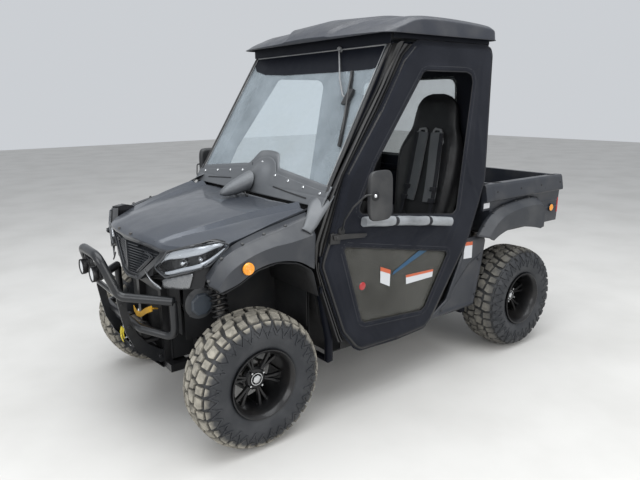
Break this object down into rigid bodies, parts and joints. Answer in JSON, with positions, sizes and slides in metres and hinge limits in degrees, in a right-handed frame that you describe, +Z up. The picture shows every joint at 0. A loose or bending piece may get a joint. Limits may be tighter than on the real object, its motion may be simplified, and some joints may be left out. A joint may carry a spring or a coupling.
{
  "type": "side-by-side utility vehicle",
  "caption": "Two-seat side-by-side utility vehicle with soft-door cab, wide windscreen, tipping cargo bed, bull bar and off-road tyres; wheels, steering, doors, hood, bed and tailgate move.",
  "frame": {"origin": "on the ground, midway along the vehicle and on its middle plane", "axes": "+X forward, +Y to the vehicle's left, +Z up"},
  "size_m": [2.952, 1.776, 2.062],
  "materials": {
    "frame_black": "satin black powder coat",
    "cab_plastic": "grained black moulded plastic",
    "flare_plastic": "textured dark grey moulded plastic",
    "rubber_black": "matt",
    "glass_clear": "clear polycarbonate with a dark band at the top",
    "cowl_grey": "satin mid grey",
    "trim_plastic": "fine-grained black plastic",
    "lamp_housing": "gloss black with bright reflector bands",
    "lens_clear": "clear lamp lens",
    "bar_black": "satin dark grey powder coat",
    "radiator_core": "dark fins",
    "spring_steel": "black coil spring",
    "steel_dark": "bare dark steel",
    "cast_case": "cast",
    "seat_vinyl": "black grained vinyl",
    "door_fabric": "coated navy-black woven fabric",
    "vinyl_clear": "clear flexible vinyl",
    "hood_paint": "metallic dark grey with clear coat",
    "lens_red": "red lens",
    "tyre_rubber": "dusty black rubber",
    "rim_black": "matt black alloy"
  },
  "bodies": {
    "chassis": {"chassis_frame": "frame_black", "tow_hitch": "frame_black", "skid_plate": "frame_black", "floor_pan": "cab_plastic", "side_panels": "flare_plastic", "roll_cage": "frame_black", "roof_panel": "flare_plastic", "windscreen_frame": "rubber_black", "windscreen_glass": "glass_clear", "windscreen_wiper": "rubber_black", "cowl_panel": "cowl_grey", "grille": "trim_plastic", "front_lamp_housings": "lamp_housing", "front_lenses": "lens_clear", "front_fenders": "flare_plastic", "bull_bar": "bar_black", "winch": "frame_black", "side_airbox": "trim_plastic", "radiator": "radiator_core", "suspension_arms": "frame_black", "shock_absorbers": "spring_steel", "drive_shafts": "steel_dark", "gear_case": "cast_case", "rear_hubs": "steel_dark", "dash_panel": "cab_plastic", "seat_cushions": "seat_vinyl", "seat_backs": "seat_vinyl", "rear_curtain": "door_fabric", "rear_window": "vinyl_clear", "engine_block": "cast_case", "muffler": "steel_dark"},
    "hood": {"hood": "hood_paint", "intake_scoop": "cowl_grey"},
    "steering_rack": {"steering_rack": "steel_dark"},
    "steering_wheel": {"steering_wheel": "rubber_black"},
    "knuckle_left": {"knuckle_left": "steel_dark"},
    "knuckle_right": {"knuckle_right": "steel_dark"},
    "cargo_bed": {"cargo_bed": "flare_plastic", "bed_fenders": "flare_plastic", "tail_lamps": "lens_red"},
    "tailgate": {"tailgate": "flare_plastic"},
    "wheel_front_left": {"tyre_front_left": "tyre_rubber", "rim_front_left": "rim_black"},
    "wheel_rear_left": {"tyre_rear_left": "tyre_rubber", "rim_rear_left": "rim_black"},
    "door_left": {"door_panel_left": "door_fabric", "door_clear_left": "vinyl_clear", "window_roll_left": "vinyl_clear", "mirror_left": "trim_plastic"},
    "wheel_front_right": {"tyre_front_right": "tyre_rubber", "rim_front_right": "rim_black"},
    "wheel_rear_right": {"tyre_rear_right": "tyre_rubber", "rim_rear_right": "rim_black"},
    "door_right": {"door_panel_right": "door_fabric", "door_clear_right": "vinyl_clear", "window_roll_right": "vinyl_clear", "mirror_right": "trim_plastic"}
  },
  "joints": [
    {"name": "steer_left", "type": "hinge", "parent": "chassis", "child": "knuckle_left", "pos_m": [0.93, 0.545, 0.33], "axis": [0, 0, 1], "range_deg": [-28, 28]},
    {"name": "steer_right", "type": "hinge", "parent": "chassis", "child": "knuckle_right", "pos_m": [0.93, -0.545, 0.33], "axis": [0, 0, 1], "range_deg": [-28, 28]},
    {"name": "rack_slide", "type": "slide", "parent": "chassis", "child": "steering_rack", "axis": [0, 1, 0], "range_m": [-0.042, 0.042]},
    {"name": "steering_wheel_turn", "type": "hinge", "parent": "chassis", "child": "steering_wheel", "pos_m": [0.118, 0.338, 1.185], "axis": [-0.8191, 0, 0.5736], "range_deg": [-230, 230]},
    {"name": "wheel_front_left_spin", "type": "hinge", "parent": "knuckle_left", "child": "wheel_front_left", "pos_m": [0.93, 0.61, 0.33], "axis": [0, 1, 0], "continuous": true},
    {"name": "wheel_rear_left_spin", "type": "hinge", "parent": "chassis", "child": "wheel_rear_left", "pos_m": [-1.02, 0.617, 0.33], "axis": [0, 1, 0], "continuous": true},
    {"name": "wheel_front_right_spin", "type": "hinge", "parent": "knuckle_right", "child": "wheel_front_right", "pos_m": [0.93, -0.61, 0.33], "axis": [0, 1, 0], "continuous": true},
    {"name": "wheel_rear_right_spin", "type": "hinge", "parent": "chassis", "child": "wheel_rear_right", "pos_m": [-1.02, -0.617, 0.33], "axis": [0, 1, 0], "continuous": true},
    {"name": "door_left_swing", "type": "hinge", "parent": "chassis", "child": "door_left", "pos_m": [0.596, 0.706, 0.88], "axis": [0, 0, -1], "range_deg": [0, 70]},
    {"name": "door_right_swing", "type": "hinge", "parent": "chassis", "child": "door_right", "pos_m": [0.596, -0.706, 0.88], "axis": [0, 0, 1], "range_deg": [0, 70]},
    {"name": "hood_lift", "type": "hinge", "parent": "chassis", "child": "hood", "pos_m": [1.272, 0, 0.972], "axis": [0, 1, 0], "range_deg": [0, 55]},
    {"name": "bed_tip", "type": "hinge", "parent": "chassis", "child": "cargo_bed", "pos_m": [-1.33, 0, 0.742], "axis": [0, -1, 0], "range_deg": [0, 45]},
    {"name": "tailgate_drop", "type": "hinge", "parent": "cargo_bed", "child": "tailgate", "pos_m": [-1.459, 0, 0.806], "axis": [0, -1, 0], "range_deg": [0, 90]}
  ],
  "couplings": [
    {"joint": "steer_right", "follows": "steer_left", "ratio": 1},
    {"joint": "rack_slide", "follows": "steer_left", "m_per_rad": -0.08},
    {"joint": "steering_wheel_turn", "follows": "steer_left", "ratio": 8}
  ]
}
